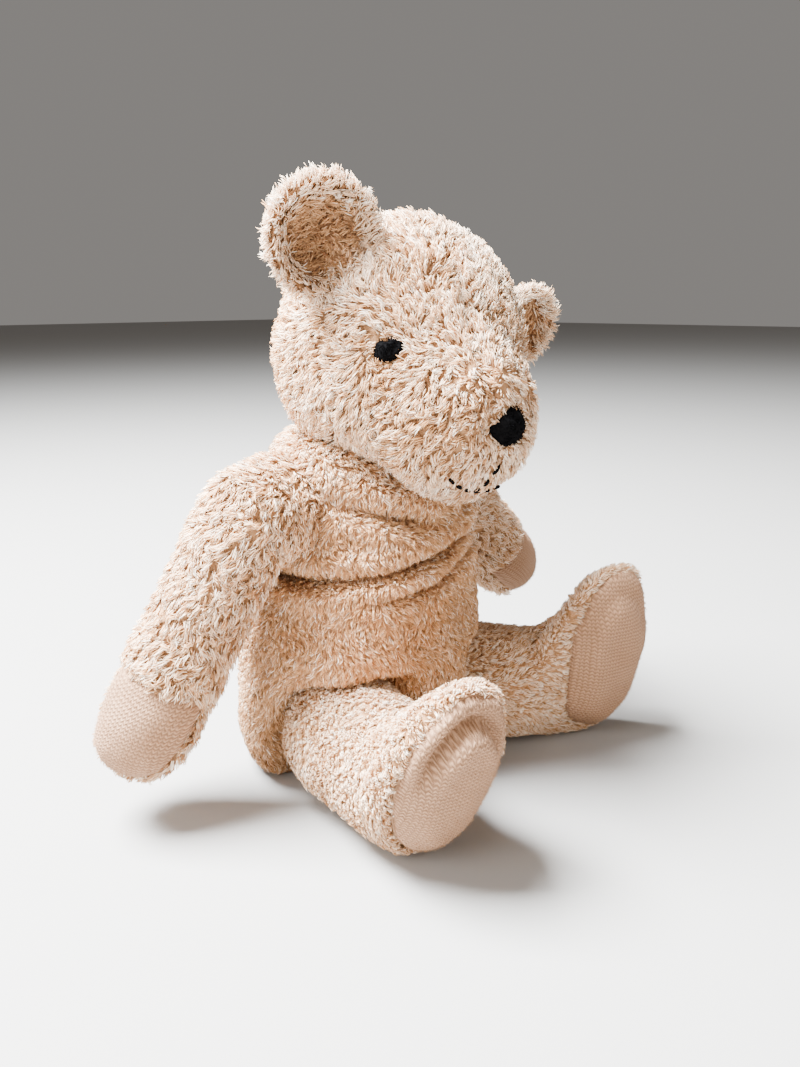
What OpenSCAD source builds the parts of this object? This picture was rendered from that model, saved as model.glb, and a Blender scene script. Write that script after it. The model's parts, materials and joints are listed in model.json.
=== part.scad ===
// Jointed teddy bear, sitting. Millimetres. +Z up, the bear faces -Y, its left side is +X.
// The origin is the middle of the flat seat. Every soft part is a sewn cover around stuffing, and the
// head, arms and legs are pinned to the torso through pairs of fibre discs.

/* [Fabric] */
// Thickness of the sewn plush and knitted fabric
fabric = 1.6; // [1.2:0.1:2]
// Space between a cover and its stuffing
loft_gap = 0.3; // [0.2:0.1:0.6]
// Space between the covers of two parts that turn on each other
joint_gap = 0.4; // [0.4:0.1:0.8]

/* [Torso] */
// Widest half-width of the pear-shaped torso
torso_half_width = 48; // [46:0.5:50]
// Height of the middle of the neck joint above the seat
neck_height = 121; // [119:1:124]

/* [Head] */
// Widest half-width of the head
head_half_width = 43; // [42:0.5:44.5]
// How far the neck axis leans forward, in degrees
head_nod = 9; // [6:1:11]
// How far the neck axis leans to the bear's left, in degrees
head_lean = 11; // [6:1:12]
// How far the face is turned to the bear's right, in degrees
head_turn = 8; // [0:1:12]
// Diameter of each embroidered eye
eye_d = 8.4; // [6:0.2:9]
// Height of the embroidered nose
nose_h = 12.5; // [10:0.5:14]

/* [Ears] */
// Radius of the round outline of an ear
ear_r = 18.5; // [17:0.5:20]
// Radius of the ball that the ear is cupped round
ear_cup_r = 25; // [23:0.5:32]
// Thickness of one of the ear's two layers
ear_layer = 3.2; // [2.5:0.1:3.5]

/* [Arms] */
// Half-thickness of the upper arm
arm_r = 16.5; // [15:0.5:17]
// Length of the arm from its bend to the tip of the paw
arm_length = 97; // [90:1:99]
// Height of the shoulder joint above the seat
shoulder_height = 103; // [101:1:105]

/* [Legs] */
// Half-thickness of the thigh
leg_r = 22; // [21:0.25:22.25]
// Distance from the hip to the sole of the straighter, left leg
leg_length = 64; // [61:1:66]
// Half-height of the foot's sole
sole_half_height = 35.5; // [33:0.5:37]

/* [Joint hardware] */
// Diameter of the steel cotter pins
pin_d = 2.2; // [1.8:0.1:2.6]
// Thickness of the pressed fibre discs
disc_t = 2; // [1.5:0.1:2.5]
// Diameter of the two fibre discs in the neck
neck_disc_d = 40; // [30:1:44]
// Diameter of the two fibre discs in each shoulder
shoulder_disc_d = 21; // [16:1:22]
// Diameter of the two fibre discs in each hip
hip_disc_d = 22; // [16:1:23]
// Diameter of the steel washers
washer_d = 10; // [8:0.5:12]
// Thickness of the steel washers
washer_t = 0.8; // [0.6:0.1:1]

/* [Hidden] */
SIDES = ["right", "left"];
JOINTS = ["neck", "right_shoulder", "left_shoulder", "right_hip", "left_hip"];
HARDWARE = ["cotter_pin", "torso_disc", "torso_washer", "limb_disc", "limb_washer"];
HEAD_NODES = ["head_gusset", "head_right_panel", "head_left_panel", "head_stuffing", "nose", "mouth_stitches"];
TORSO_NODES = ["torso_front_panel", "torso_back_panel", "torso_stuffing", "back_seam_stitches"];
PAIRED_NODES = ["ear_front", "ear_back", "eye", "arm_cover", "paw_pad", "arm_stuffing",
                "leg_cover", "foot_sole", "leg_stuffing"];

fur = "tan";
knit = "bisque";
thread = "black";
fibre = "sienna";
steel = "silver";
wool = "linen";

far = 200;            // reach of a cutting block, past every part
touch = 0.05;         // space between hardware pieces stacked face to face
running = 0.08;       // radial clearance of a disc or fabric that turns on its pin
pin_r = pin_d / 2;
form_sides = 24;      // corners round a soft form
dome_rings = 4;       // rings in a rounded end
span_steps = 2;       // rings between two neighbouring stations
stitch_d = 1.1;

neck_at = [2.5, -5, neck_height];
shoulder_x = 36.5;
shoulder_at = [shoulder_x, 4, shoulder_height];
hip_x = 12;
hip_at = [hip_x, -18, leg_r + 0.5];
hip_centre_x = 29;    // middle of the thigh's round end
leg_up = 8;           // how far a leg lifts above its resting place, in degrees

function mirrored(side) = side == "right" ? -1 : 1;
function flip(v, side) = [mirrored(side) * v[0], v[1], v[2]];
function side_index(side) = side == "right" ? 0 : 1;

// ---------- Soft forms ----------
// A station is one cross-section: [x, y, z, half_width, half_height, pan, tilt]. Pan and tilt point its
// normal: pan turns it round Z from +X, and tilt lifts it above the horizon.

function place_of(s) = [s[0], s[1], s[2]];
function normal_of(s) = [cos(s[5]) * cos(s[6]), sin(s[5]) * cos(s[6]), sin(s[6])];
function side_of(s) = [-sin(s[5]), cos(s[5]), 0];
function power(v, p) = sign(v) * pow(abs(v), p);

// A point on a station's rim. Fullness 1 is an ellipse, and less is squarer.
function rim_point(s, angle, fullness) =
    place_of(s)
    + s[3] * power(cos(angle), fullness) * side_of(s)
    + s[4] * power(sin(angle), fullness) * cross(normal_of(s), side_of(s));
function rim(s, fullness) =
    [for (i = [0:form_sides - 1]) rim_point(s, 360 * i / form_sides, fullness)];

// Catmull-Rom curve through four neighbouring stations, at share t between b and c.
function between(a, b, c, d, t) =
    0.5 * (2 * b + (c - a) * t + (2 * a - 5 * b + 4 * c - d) * t * t + (3 * b - a - 3 * c + d) * t * t * t);
function station_at(list, u) =
    let (last = len(list) - 1, i = min(floor(u), last - 1))
    between(list[max(i - 1, 0)], list[i], list[i + 1], list[min(i + 2, last)], u - i);
function smoothed(list) =
    [for (i = [0:(len(list) - 1) * span_steps]) station_at(list, i / span_steps)];

// Moves a station along its normal and makes it smaller.
function moved(s, along) =
    let (p = place_of(s) + along * normal_of(s)) [p[0], p[1], p[2], s[3], s[4], s[5], s[6]];
function shrunk(s, by) = [s[0], s[1], s[2], s[3] - by, s[4] - by, s[5], s[6]];
function scaled(s, k) = [s[0], s[1], s[2], s[3] * k, s[4] * k, s[5], s[6]];

// The rings of a rounded end of a given length, from its widest ring outwards. sense is -1 at the start.
function dome(s, length, sense) =
    [for (k = [1:dome_rings - 1])
        let (a = 90 * k / dome_rings) scaled(moved(s, sense * length * sin(a)), cos(a))];

// A closed form through the stations. start and end are the lengths of its rounded ends, or 0 for a flat one.
// inset makes the same form that much smaller on every side.
module soft_form(stations, start = 0, end = 0, inset = 0, fullness = 1) {
    body = [for (s = smoothed(stations)) shrunk(s, inset)];
    first = start == 0 ? moved(body[0], inset) : body[0];
    last = end == 0 ? moved(body[len(body) - 1], -inset) : body[len(body) - 1];
    start_dome = start == 0 ? [] : dome(first, start - inset, -1);
    end_dome = end == 0 ? [] : dome(last, end - inset, 1);
    reversed_start = [for (i = [len(start_dome) - 1:-1:0]) start_dome[i]];
    middle = [for (i = [1:len(body) - 2]) body[i]];
    rings = concat(reversed_start, [first], middle, [last], end_dome);
    n = form_sides;
    count = len(rings);
    tip_a = place_of(moved(first, start == 0 ? 0 : inset - start));
    tip_b = place_of(moved(last, end == 0 ? 0 : end - inset));
    points = concat([for (s = rings) each rim(s, fullness)], [tip_a, tip_b]);
    next = function (i) (i + 1) % n;
    walls = [for (r = [0:count - 2]) for (i = [0:n - 1])
        let (a = r * n + i, b = r * n + next(i), c = b + n, d = a + n)
        each [[a, d, c], [a, c, b]]];
    caps = [for (i = [0:n - 1])
        each [[n * count, i, next(i)], [n * count + 1, (count - 1) * n + next(i), (count - 1) * n + i]]];
    polyhedron(points, concat(walls, caps));
}

// ---------- Joint places ----------
// In a joint's own frame the pin runs along Z, +Z points out of the torso into the head or limb, and z = 0 is
// the middle of the space between the two covers.

module at_joint(joint) {
    if (joint == "neck")
        translate(neck_at) rotate([head_nod, head_lean, 0]) rotate([0, 0, -head_turn]) children();
    else if (joint == "right_shoulder")
        translate(flip(shoulder_at, "right")) rotate([0, -90, 0]) children();
    else if (joint == "left_shoulder")
        translate(shoulder_at) rotate([0, 90, 0]) children();
    else if (joint == "right_hip")
        translate(flip(hip_at, "right")) rotate([0, -90, 0]) children();
    else
        translate(hip_at) rotate([0, 90, 0]) children();
}

function disc_d(joint) =
    joint == "neck" ? neck_disc_d
    : joint == "right_shoulder" || joint == "left_shoulder" ? shoulder_disc_d
    : hip_disc_d;

// Heights in a joint's frame, counted away from z = 0 on either side.
disc_from = joint_gap / 2 + fabric + touch;
washer_from = disc_from + disc_t + touch;
stack_top = washer_from + washer_t + touch;
eye_r = 2.6;          // middle radius of the cotter's eye
curl_r = 2.4;         // middle radius of the curled ends
curl_thickness = 0.8; // of a curled end, as a share of the shaft's
pocket_room = 0.5;    // space that the stuffing leaves round the hardware
pocket_depth = stack_top + 2 * eye_r + pin_d + pocket_room;

module disc(joint, bore_r) {
    difference() {
        translate([0, 0, disc_from]) cylinder(d = disc_d(joint), h = disc_t, $fn = 64);
        cylinder(r = bore_r, h = far, center = true, $fn = 32);
    }
}

module washer(bore_r) {
    difference() {
        translate([0, 0, washer_from]) cylinder(d = washer_d, h = washer_t, $fn = 48);
        cylinder(r = bore_r, h = far, center = true, $fn = 32);
    }
}

// A straight shaft, a round eye on the limb's side and two curled ends on the torso's side.
module cotter_pin() {
    translate([0, 0, -stack_top]) cylinder(r = pin_r, h = 2 * stack_top + pin_r, $fn = 32);
    translate([0, 0, stack_top + pin_r + eye_r])
        rotate([90, 0, 0])
            rotate_extrude($fn = 48) translate([eye_r, 0]) circle(r = pin_r, $fn = 24);
    for (turn = [0, 180])
        rotate([0, 0, turn])
            translate([curl_r, 0, -stack_top])
                rotate([90, 0, 0])
                    rotate_extrude(angle = -180, start = 0, $fn = 48)
                        translate([curl_r, 0]) circle(r = curl_thickness * pin_r, $fn = 24);
}

module hardware(joint, item) {
    at_joint(joint) {
        if (item == "cotter_pin") color(steel) cotter_pin();
        if (item == "torso_disc") color(fibre) mirror([0, 0, 1]) disc(joint, pin_r + running);
        if (item == "torso_washer") color(steel) mirror([0, 0, 1]) washer(pin_r + running);
        if (item == "limb_disc") color(fibre) disc(joint, pin_r + running);
        if (item == "limb_washer") color(steel) washer(pin_r + running);
    }
}

// The hole for a pin through both covers, and the hollow that its discs, washers and ends lie in.
module pin_bore(joint) {
    at_joint(joint) cylinder(r = pin_r + running, h = 4 * fabric, center = true, $fn = 32);
}
module stack_pocket(joint) {
    at_joint(joint) {
        cylinder(r = disc_d(joint) / 2 + pocket_room, h = 2 * (stack_top + pocket_room), center = true, $fn = 64);
        cylinder(r = washer_d / 2 + 3 * pocket_room, h = 2 * pocket_depth, center = true, $fn = 48);
    }
}

// ---------- Torso ----------

torso_stations = [
    [0, 7, 0, 0.80 * torso_half_width, 32, -90, 90],
    [0, 5, 5, 0.93 * torso_half_width, 39, -90, 90],
    [0, 3, 15, torso_half_width, 43.5, -90, 90],
    [0, 1, 32, torso_half_width, 45.5, -90, 90],
    [0, 0, 52, 0.95 * torso_half_width, 43.5, -90, 90],
    [0, 0, 72, 0.87 * torso_half_width, 41, -90, 90],
    [0, 0, 92, 0.80 * torso_half_width, 38.5, -90, 90],
    [0, -1, 108, 0.765 * torso_half_width, 36.5, -90, 90],
    [0, -2, 120, 0.72 * torso_half_width, 34.5, -90, 90],
    [0, -3, 132, 0.65 * torso_half_width, 32, -90, 90]
];

thigh_clearance = 0.8;    // space round a thigh that turns
shoulder_clearance = 1.2; // how much wider the flat at a shoulder is than the arm
boss_depth = 9;           // how far in the fabric follows the shoulder's disc

// The fabric stretched round the edge of a shoulder's disc.
module shoulder_boss(side, inset) {
    r = shoulder_disc_d / 2 + pocket_room + fabric - inset;
    at_joint(str(side, "_shoulder"))
        translate([0, 0, -boss_depth]) cylinder(r = r, h = boss_depth + 1, $fn = 64);
}

// The room that a thigh turns in, from lifted to straight down: the same outline all the way out to the side.
module thigh_room(side, grow) {
    r = leg_r + thigh_clearance + grow;
    from = hip_x - joint_gap / 2 - grow;
    top = 90 - leg_up;
    arc = [for (k = [0:8]) r * [cos(top * k / 8), sin(top * k / 8)]];
    lifted = far * [-cos(leg_up), sin(leg_up)] + arc[8];
    mirror([side == "right" ? 1 : 0, 0, 0])
        translate([from, hip_at[1], hip_at[2]])
            rotate([90, 0, 90])
                linear_extrude(far) polygon(concat([[r, -far]], arc, [lifted, [-far, -far]]));
}

module torso_form(inset) {
    difference() {
        union() {
            soft_form(torso_stations, inset = inset);
            for (side = SIDES) shoulder_boss(side, inset);
        }
        at_joint("neck") translate([-far / 2, -far / 2, -joint_gap / 2 - inset]) cube(far);
        for (side = SIDES) {
            thigh_room(side, inset);
            at_joint(str(side, "_shoulder"))
                translate([0, 0, -joint_gap / 2 - inset])
                    cylinder(r = arm_r + shoulder_clearance + inset, h = far, $fn = 64);
        }
    }
}

module torso_cover() {
    difference() {
        torso_form(0);
        torso_form(fabric);
        for (joint = JOINTS) pin_bore(joint);
    }
}

side_seam_y = 6;
seam_width = 0.1;     // space between two panels along their seam
module behind(y) { translate([-far, y, -far]) cube(2 * far); }

module torso_front_panel() {
    color(fur) difference() {
        torso_cover();
        behind(side_seam_y - seam_width / 2);
    }
}
module torso_back_panel() {
    color(fur) intersection() {
        torso_cover();
        behind(side_seam_y + seam_width / 2);
    }
}
module torso_stuffing() {
    color(wool) difference() {
        torso_form(fabric + loft_gap);
        for (joint = JOINTS) stack_pocket(joint);
    }
}

// The hand-sewn ladder stitches that close the back after stuffing.
module back_seam_stitches() {
    color(wool)
        difference() {
            for (i = [0:6])
                translate(rim_point(station_at(torso_stations, 3.2 + 0.4 * i), 90, 1))
                    rotate([0, 90, 0]) cylinder(d = stitch_d, h = 4.5, center = true, $fn = 24);
            torso_form(-touch);
        }
}

// ---------- Head ----------
// In the neck joint's frame: the face looks along -Y.

head_fullness = 0.88;
head_stations = [
    [0, 29, 36, 0.68 * head_half_width, 30, -90, 0],
    [0, 15, 36, 0.93 * head_half_width, 39.5, -90, 0],
    [0, 1, 36, head_half_width, 42.5, -90, 0],
    [0, -13, 35.5, 0.98 * head_half_width, 41.5, -90, 0],
    [0, -25, 31.5, 0.88 * head_half_width, 37, -90, 0],
    [0, -34, 24, 31, 31.5, -90, 0],
    [0, -42, 18.5, 26.5, 26.5, -90, 0],
    [0, -50, 19, 21, 20.5, -90, 0]
];
head_back = 12;       // depth of the rounded back of the head
muzzle_front = 9;     // depth of the rounded end of the muzzle
neck_room = 39.5;     // the chin hangs in front of the neck, outside this radius
gusset_half_width = 9;
gusset_floor = 19;    // the gusset ends at the nose, above this height

module head_form(inset) {
    difference() {
        soft_form(head_stations, head_back, muzzle_front, inset, head_fullness);
        translate([0, 0, -far + joint_gap / 2 + inset]) cylinder(r = neck_room + inset, h = far, $fn = 64);
    }
}
module head_cover() {
    difference() {
        at_joint("neck") difference() {
            head_form(0);
            head_form(fabric);
        }
        pin_bore("neck");
    }
}
// The strip over the top of the head, grown by half a seam where a side panel is cut back from it.
module gusset_zone(grow) {
    at_joint("neck")
        translate([-gusset_half_width - grow, -far / 2, gusset_floor - grow])
            cube([2 * (gusset_half_width + grow), far, far]);
}
module head_gusset() {
    color(fur) intersection() {
        head_cover();
        gusset_zone(0);
    }
}
module head_side_panel(side) {
    color(fur) difference() {
        head_cover();
        gusset_zone(seam_width);
        at_joint("neck")
            translate([side == "right" ? -seam_width / 2 : seam_width / 2 - far, -far / 2, -far / 2]) cube(far);
    }
}
module head_stuffing() {
    color(wool) difference() {
        at_joint("neck") head_form(fabric + loft_gap);
        stack_pocket("neck");
    }
}

// Whatever is sewn onto the head ends at its surface.
module on_head() {
    difference() {
        children();
        at_joint("neck") head_form(-touch);
    }
}

// A low round button of embroidery, rising from the XY plane of its own frame.
module satin_dot(d, rise) {
    sunk = 3;
    dome_points = [for (a = [0:15:90]) [d / 2 * cos(a), rise * sin(a)]];
    rotate_extrude($fn = 48) polygon(concat([[0, -sunk], [d / 2, -sunk]], dome_points));
}

eye_station = 4.7;    // between the forehead and the muzzle
eye_rise = 13;        // height of the eye on its cross-section, in degrees
eye_turn = 62;        // how far the eye faces to its own side, in degrees
eye_height = 1.4;     // how far the eye stands out
nose_at = [0, -57.5, 22.5];
nose_tilt = 70;       // 90 would face straight ahead
nose_height = 3;      // how far the nose stands out
module eye(side) {
    angle = side == "right" ? 180 - eye_rise : eye_rise;
    at = rim_point(station_at(head_stations, eye_station), angle, head_fullness);
    color(thread) on_head() at_joint("neck")
        translate(at) rotate([90 - eye_rise, 0, mirrored(side) * eye_turn]) satin_dot(eye_d, eye_height);
}
module nose() {
    color(thread) on_head() at_joint("neck")
        translate(nose_at) rotate([nose_tilt, 0, 0]) satin_dot(nose_h, nose_height);
}

// One stitch of thread between two points.
module stitch(a, b) {
    run = b - a;
    translate(a)
        rotate([0, acos(run[2] / norm(run)), atan2(run[1], run[0])])
            cylinder(d = stitch_d, h = norm(run), $fn = 24);
}
// A point on the rounded end of the muzzle: angle is round its rim, and rise is 0 at the rim and 90 at the tip.
function muzzle_point(angle, rise) =
    let (s = head_stations[len(head_stations) - 1])
    rim_point(scaled(moved(s, muzzle_front * sin(rise)), cos(rise)), angle, head_fullness);
mouth_drop = 12;      // how far the mouth's corners hang below its middle, in degrees of rise
module mouth_stitches() {
    color(thread) on_head() at_joint("neck") {
        for (rise = [64, 44]) stitch(muzzle_point(-90, rise), muzzle_point(-90, rise - 13));
        for (sense = [-1, 1])
            for (k = [0:2])
                stitch(muzzle_point(-90 + sense * (6 + 15 * k), 22 - mouth_drop * k / 3),
                       muzzle_point(-90 + sense * (15 + 15 * k), 19 - mouth_drop * k / 3));
    }
}

// ---------- Ears ----------
// In an ear's own frame it stands along +Z on its cut base and is cupped towards -Y.

ear_at = [[-34, -5, 54], [31, -7, 51]];     // right, left: the middle of the cut base
ear_turn = [-16, 14];         // right, left: how the cup is turned round the head
ear_nod = [-12, 10];          // right, left: how far the cup tips forward or back
ear_spread = [-54, 70];       // right, left: how far the ear hangs out from upright
ear_middle = 13;              // height of an ear's middle above its cut base

module at_ear(side) {
    i = side_index(side);
    at_joint("neck")
        translate(ear_at[i]) rotate([0, 0, ear_turn[i]]) rotate([ear_nod[i], ear_spread[i], 0]) children();
}
module ear_shell(inner_r) {
    intersection() {
        translate([0, -ear_cup_r + ear_layer, 0]) difference() {
            translate([0, 0, ear_middle]) sphere(r = inner_r + ear_layer, $fn = 64);
            translate([0, 0, ear_middle]) sphere(r = inner_r, $fn = 64);
        }
        translate([0, 0, ear_middle]) rotate([90, 0, 0]) cylinder(r = ear_r, h = far, center = true, $fn = 64);
        translate([-far / 2, -far + ear_cup_r, 0]) cube(far);
        translate([-far / 2, -ear_cup_r + ear_layer, -far / 2]) cube(far);
    }
}
module ear_front(side) { color(fur) on_head() at_ear(side) ear_shell(ear_cup_r - ear_layer); }
module ear_back(side) { color(fur) on_head() at_ear(side) ear_shell(ear_cup_r + touch); }

// ---------- Arms ----------
// Each arm leaves its disc sideways, then bends down and hangs in its own direction.

arm_pan = [155, 2];           // right, left: where the arm points, round Z from +X
arm_tilt = [-60, -42];        // right, left: how it hangs, below the horizon
arm_out = 13;                 // distance from the disc to the bend
palm_pan = [-80, -100];       // right, left: where the palm faces
pad_length = 36;
palm_edge = -2;               // how far the pad reaches round past the middle of the arm

function arm_station(side, along, r, share) =
    let (
        i = side_index(side),
        root_pan = side == "right" ? 180 : 0,
        out = flip([arm_out, 0, 0], side),
        way = normal_of([0, 0, 0, 0, 0, arm_pan[i], arm_tilt[i]]),
        p = flip(shoulder_at, side) + out + along * way,
        pan = root_pan + share * (arm_pan[i] - root_pan)
    )
    [p[0], p[1], p[2], r, r, pan, share * arm_tilt[i]];
function arm_root(side, out, r, share) =
    let (
        i = side_index(side),
        p = flip(shoulder_at + [out, 0, 0], side),
        root_pan = side == "right" ? 180 : 0
    )
    [p[0], p[1], p[2], r, r, root_pan + share * (arm_pan[i] - root_pan), share * arm_tilt[i]];
function arm_stations(side) = [
    arm_root(side, joint_gap / 2, arm_r, 0),
    arm_root(side, 5, arm_r, 0.08),
    arm_station(side, 0, 1.02 * arm_r, 0.45),
    arm_station(side, 16, 0.98 * arm_r, 0.85),
    arm_station(side, 36, 0.93 * arm_r, 1),
    arm_station(side, 58, 0.98 * arm_r, 1),
    arm_station(side, arm_length - 17, 0.97 * arm_r, 1)
];
module arm_form(side, inset) { soft_form(arm_stations(side), end = 17, inset = inset); }

module arm_shell(side) {
    difference() {
        arm_form(side, 0);
        arm_form(side, fabric);
        pin_bore(str(side, "_shoulder"));
    }
}
// The block that holds the knitted palm: the palm's side of the arm, past where the pad begins.
module palm_zone(side, grow) {
    i = side_index(side);
    start = arm_station(side, arm_length - pad_length - grow, arm_r, 1);
    translate(place_of(start))
        rotate([0, 0, arm_pan[i]]) rotate([0, 90 - arm_tilt[i], 0])
            rotate([0, 0, palm_pan[i] - arm_pan[i]])
                translate([-palm_edge - grow, -far / 2, 0]) cube(far);
}
module arm_cover(side) {
    color(fur) difference() {
        arm_shell(side);
        palm_zone(side, seam_width);
    }
}
module paw_pad(side) {
    color(knit) intersection() {
        arm_shell(side);
        palm_zone(side, 0);
    }
}
module arm_stuffing(side) {
    color(wool) difference() {
        arm_form(side, fabric + loft_gap);
        stack_pocket(str(side, "_shoulder"));
    }
}

// ---------- Legs ----------
// Each leg is a round thigh on its disc, a thick shin and a foot that turns up to a flat oval sole.

leg_bend = [0.92, 1];         // right, left: how much of its length is left where the knee is bent
leg_pan = [-106, -56];        // right, left: where the leg points, round Z from +X
sole_pan = [-107, -109];      // right, left: where the sole faces, round Z from +X
toe_lean = [-19, -8];         // right, left: how far the sole faces up, in degrees
sole_bulge = 7;               // how far the stuffed sole swells past the widest ring of the foot
sole_edge = 1;                // how far behind that ring the seam lies

function leg_station(side, along, rise, w, h, share) =
    let (
        i = side_index(side),
        way = normal_of([0, 0, 0, 0, 0, leg_pan[i], 0]),
        centre = [mirrored(side) * hip_centre_x, hip_at[1], hip_at[2]],
        p = centre + leg_bend[i] * along * way + [0, 0, rise]
    )
    [p[0], p[1], p[2], w, h, leg_pan[i] + share * (sole_pan[i] - leg_pan[i]), share * toe_lean[i]];
function leg_stations(side) = [
    leg_station(side, 0, 0, leg_r, leg_r, 0),
    leg_station(side, 0.28 * leg_length, -0.2, 0.98 * leg_r, 0.98 * leg_r, 0.12),
    leg_station(side, 0.55 * leg_length, 0, 0.94 * leg_r, 0.95 * leg_r, 0.36),
    leg_station(side, 0.72 * leg_length, 3.3, 0.94 * leg_r, 0.72 * sole_half_height, 0.58),
    leg_station(side, 0.86 * leg_length, 9.4, 0.97 * leg_r, 0.89 * sole_half_height, 0.82),
    leg_station(side, leg_length, 13.3, 0.97 * leg_r, sole_half_height, 1)
];
module leg_form(side, inset) {
    plane_x = hip_x + joint_gap / 2 + inset;
    intersection() {
        soft_form(leg_stations(side), start = leg_r, end = sole_bulge, inset = inset);
        translate([side == "right" ? -plane_x - far : plane_x, -far, -far]) cube([far, 2 * far, 2 * far]);
    }
}
module leg_shell(side) {
    difference() {
        leg_form(side, 0);
        leg_form(side, fabric);
        pin_bore(str(side, "_hip"));
    }
}
// The block past the plane of the sole's seam, and a gap behind it where the cover is cut back.
module sole_zone(side, back) {
    i = side_index(side);
    last = leg_stations(side)[5];
    translate(place_of(last))
        rotate([0, 0, sole_pan[i]]) rotate([0, 90 - toe_lean[i], 0])
            translate([-far, -leg_r - back, -sole_edge - back]) cube([2 * far, 2 * (leg_r + back), far]);
}
module leg_cover(side) {
    color(fur) difference() {
        leg_shell(side);
        sole_zone(side, seam_width);
    }
}
module foot_sole(side) {
    color(knit) intersection() {
        leg_shell(side);
        sole_zone(side, 0);
    }
}
module leg_stuffing(side) {
    color(wool) difference() {
        leg_form(side, fabric + loft_gap);
        stack_pocket(str(side, "_hip"));
    }
}

// ---------- Assembly ----------

head_gusset();
head_side_panel("right");  // head_right_panel
head_side_panel("left");  // head_left_panel
head_stuffing();
nose();
mouth_stitches();
torso_front_panel();
torso_back_panel();
torso_stuffing();
back_seam_stitches();
for (side = SIDES) {
    ear_front(side);
    ear_back(side);
    eye(side);
    arm_cover(side);
    paw_pad(side);
    arm_stuffing(side);
    leg_cover(side);
    foot_sole(side);
    leg_stuffing(side);
}
for (joint = JOINTS)
    for (item = HARDWARE)
        hardware(joint, item);
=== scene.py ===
"""The looks of a sitting plush bear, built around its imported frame.

Soft skins stand for the stuffed covers, real tufts make the pile, and the pads are knitted. The eyes, nose
and mouth are black wool. The pins, washers and discs of the joints keep their shapes and get materials.
"""

import json
import math

import bmesh
import bpy
import numpy as np
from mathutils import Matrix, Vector
from mathutils.bvhtree import BVHTree
from mathutils.kdtree import KDTree


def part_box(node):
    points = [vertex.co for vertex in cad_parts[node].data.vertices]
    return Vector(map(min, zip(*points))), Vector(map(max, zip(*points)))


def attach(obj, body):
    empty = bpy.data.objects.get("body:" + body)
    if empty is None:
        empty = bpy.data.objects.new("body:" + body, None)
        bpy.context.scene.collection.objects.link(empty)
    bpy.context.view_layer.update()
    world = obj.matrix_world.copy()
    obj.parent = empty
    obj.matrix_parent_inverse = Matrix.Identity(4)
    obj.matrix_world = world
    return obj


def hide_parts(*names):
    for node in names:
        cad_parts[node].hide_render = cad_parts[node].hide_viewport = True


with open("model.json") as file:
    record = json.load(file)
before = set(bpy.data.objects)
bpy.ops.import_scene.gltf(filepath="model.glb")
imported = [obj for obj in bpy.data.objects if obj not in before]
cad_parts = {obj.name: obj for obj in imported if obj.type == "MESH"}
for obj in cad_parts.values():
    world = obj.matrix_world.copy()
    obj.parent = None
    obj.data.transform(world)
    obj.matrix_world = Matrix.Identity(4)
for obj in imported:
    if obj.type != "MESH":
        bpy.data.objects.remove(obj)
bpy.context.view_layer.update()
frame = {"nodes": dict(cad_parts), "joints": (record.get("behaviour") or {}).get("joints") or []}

MM = 0.001
SIDES = ("right", "left")
JOINTS = {joint["name"]: joint for joint in frame["joints"]}
FLOOR_CLEARANCE = 0.25 * MM


# ---------- Vectors ----------

def unit(v):
    v = np.asarray(v, float)
    return v / np.maximum(np.linalg.norm(v, axis=-1, keepdims=True), 1e-12)


def dot(a, b):
    return (a * b).sum(-1, keepdims=True)


def ramp(value, start, end):
    """0 before start, 1 after end, smooth between."""
    t = np.clip((value - start) / (end - start), 0, 1)
    return t * t * (3 - 2 * t)


def bump(distance, width):
    return np.exp(-((distance / width) ** 2))


def waves(p, size, seed, octaves=7):
    """Smooth noise from -1 to 1 about size wide, the same each run."""
    rng = np.random.default_rng(seed)
    total = np.zeros(len(p))
    for _ in range(octaves):
        direction = unit(rng.normal(size=3))
        pitch = size * rng.uniform(0.7, 1.6)
        total += np.sin(p @ direction * 2 * math.pi / pitch + rng.uniform(0, 2 * math.pi))
    return np.clip(total / math.sqrt(octaves) / 1.4, -1, 1)


def about(v, axis, angle):
    """v turned about a unit axis by an angle, row by row."""
    c, s = np.cos(angle)[:, None], np.sin(angle)[:, None]
    return v * c + np.cross(axis, v) * s + axis * dot(axis, v) * (1 - c)


def middle(*nodes):
    corners = [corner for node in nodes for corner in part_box(node)]
    return (np.min(corners, 0) + np.max(corners, 0)) / 2


# ---------- Meshes ----------

def new_object(name, mesh):
    made = bpy.data.objects.new(name, mesh)
    bpy.context.scene.collection.objects.link(made)
    return made


def points_of(mesh):
    co = np.empty(len(mesh.vertices) * 3, np.float32)
    mesh.vertices.foreach_get("co", co)
    return co.reshape(-1, 3).astype(float)


def set_points(mesh, co):
    mesh.vertices.foreach_set("co", co.astype(np.float32).ravel())
    mesh.update()


def normals_of(mesh):
    n = np.empty(len(mesh.vertices) * 3, np.float32)
    mesh.vertex_normals.foreach_get("vector", n)
    return n.reshape(-1, 3).astype(float)


def triangles_of(mesh):
    mesh.calc_loop_triangles()
    t = np.empty(len(mesh.loop_triangles) * 3, np.int32)
    mesh.loop_triangles.foreach_get("vertices", t)
    return t.reshape(-1, 3)


def apply_modifiers(made):
    evaluated = made.evaluated_get(bpy.context.evaluated_depsgraph_get())
    mesh = bpy.data.meshes.new_from_object(evaluated)
    made.modifiers.clear()
    old = made.data
    made.data = mesh
    bpy.data.meshes.remove(old)


def add_modifier(made, kind, **settings):
    modifier = made.modifiers.new(kind.lower(), kind)
    for name, value in settings.items():
        setattr(modifier, name, value)
    return modifier


RELAX_SHARE = 0.5


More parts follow.
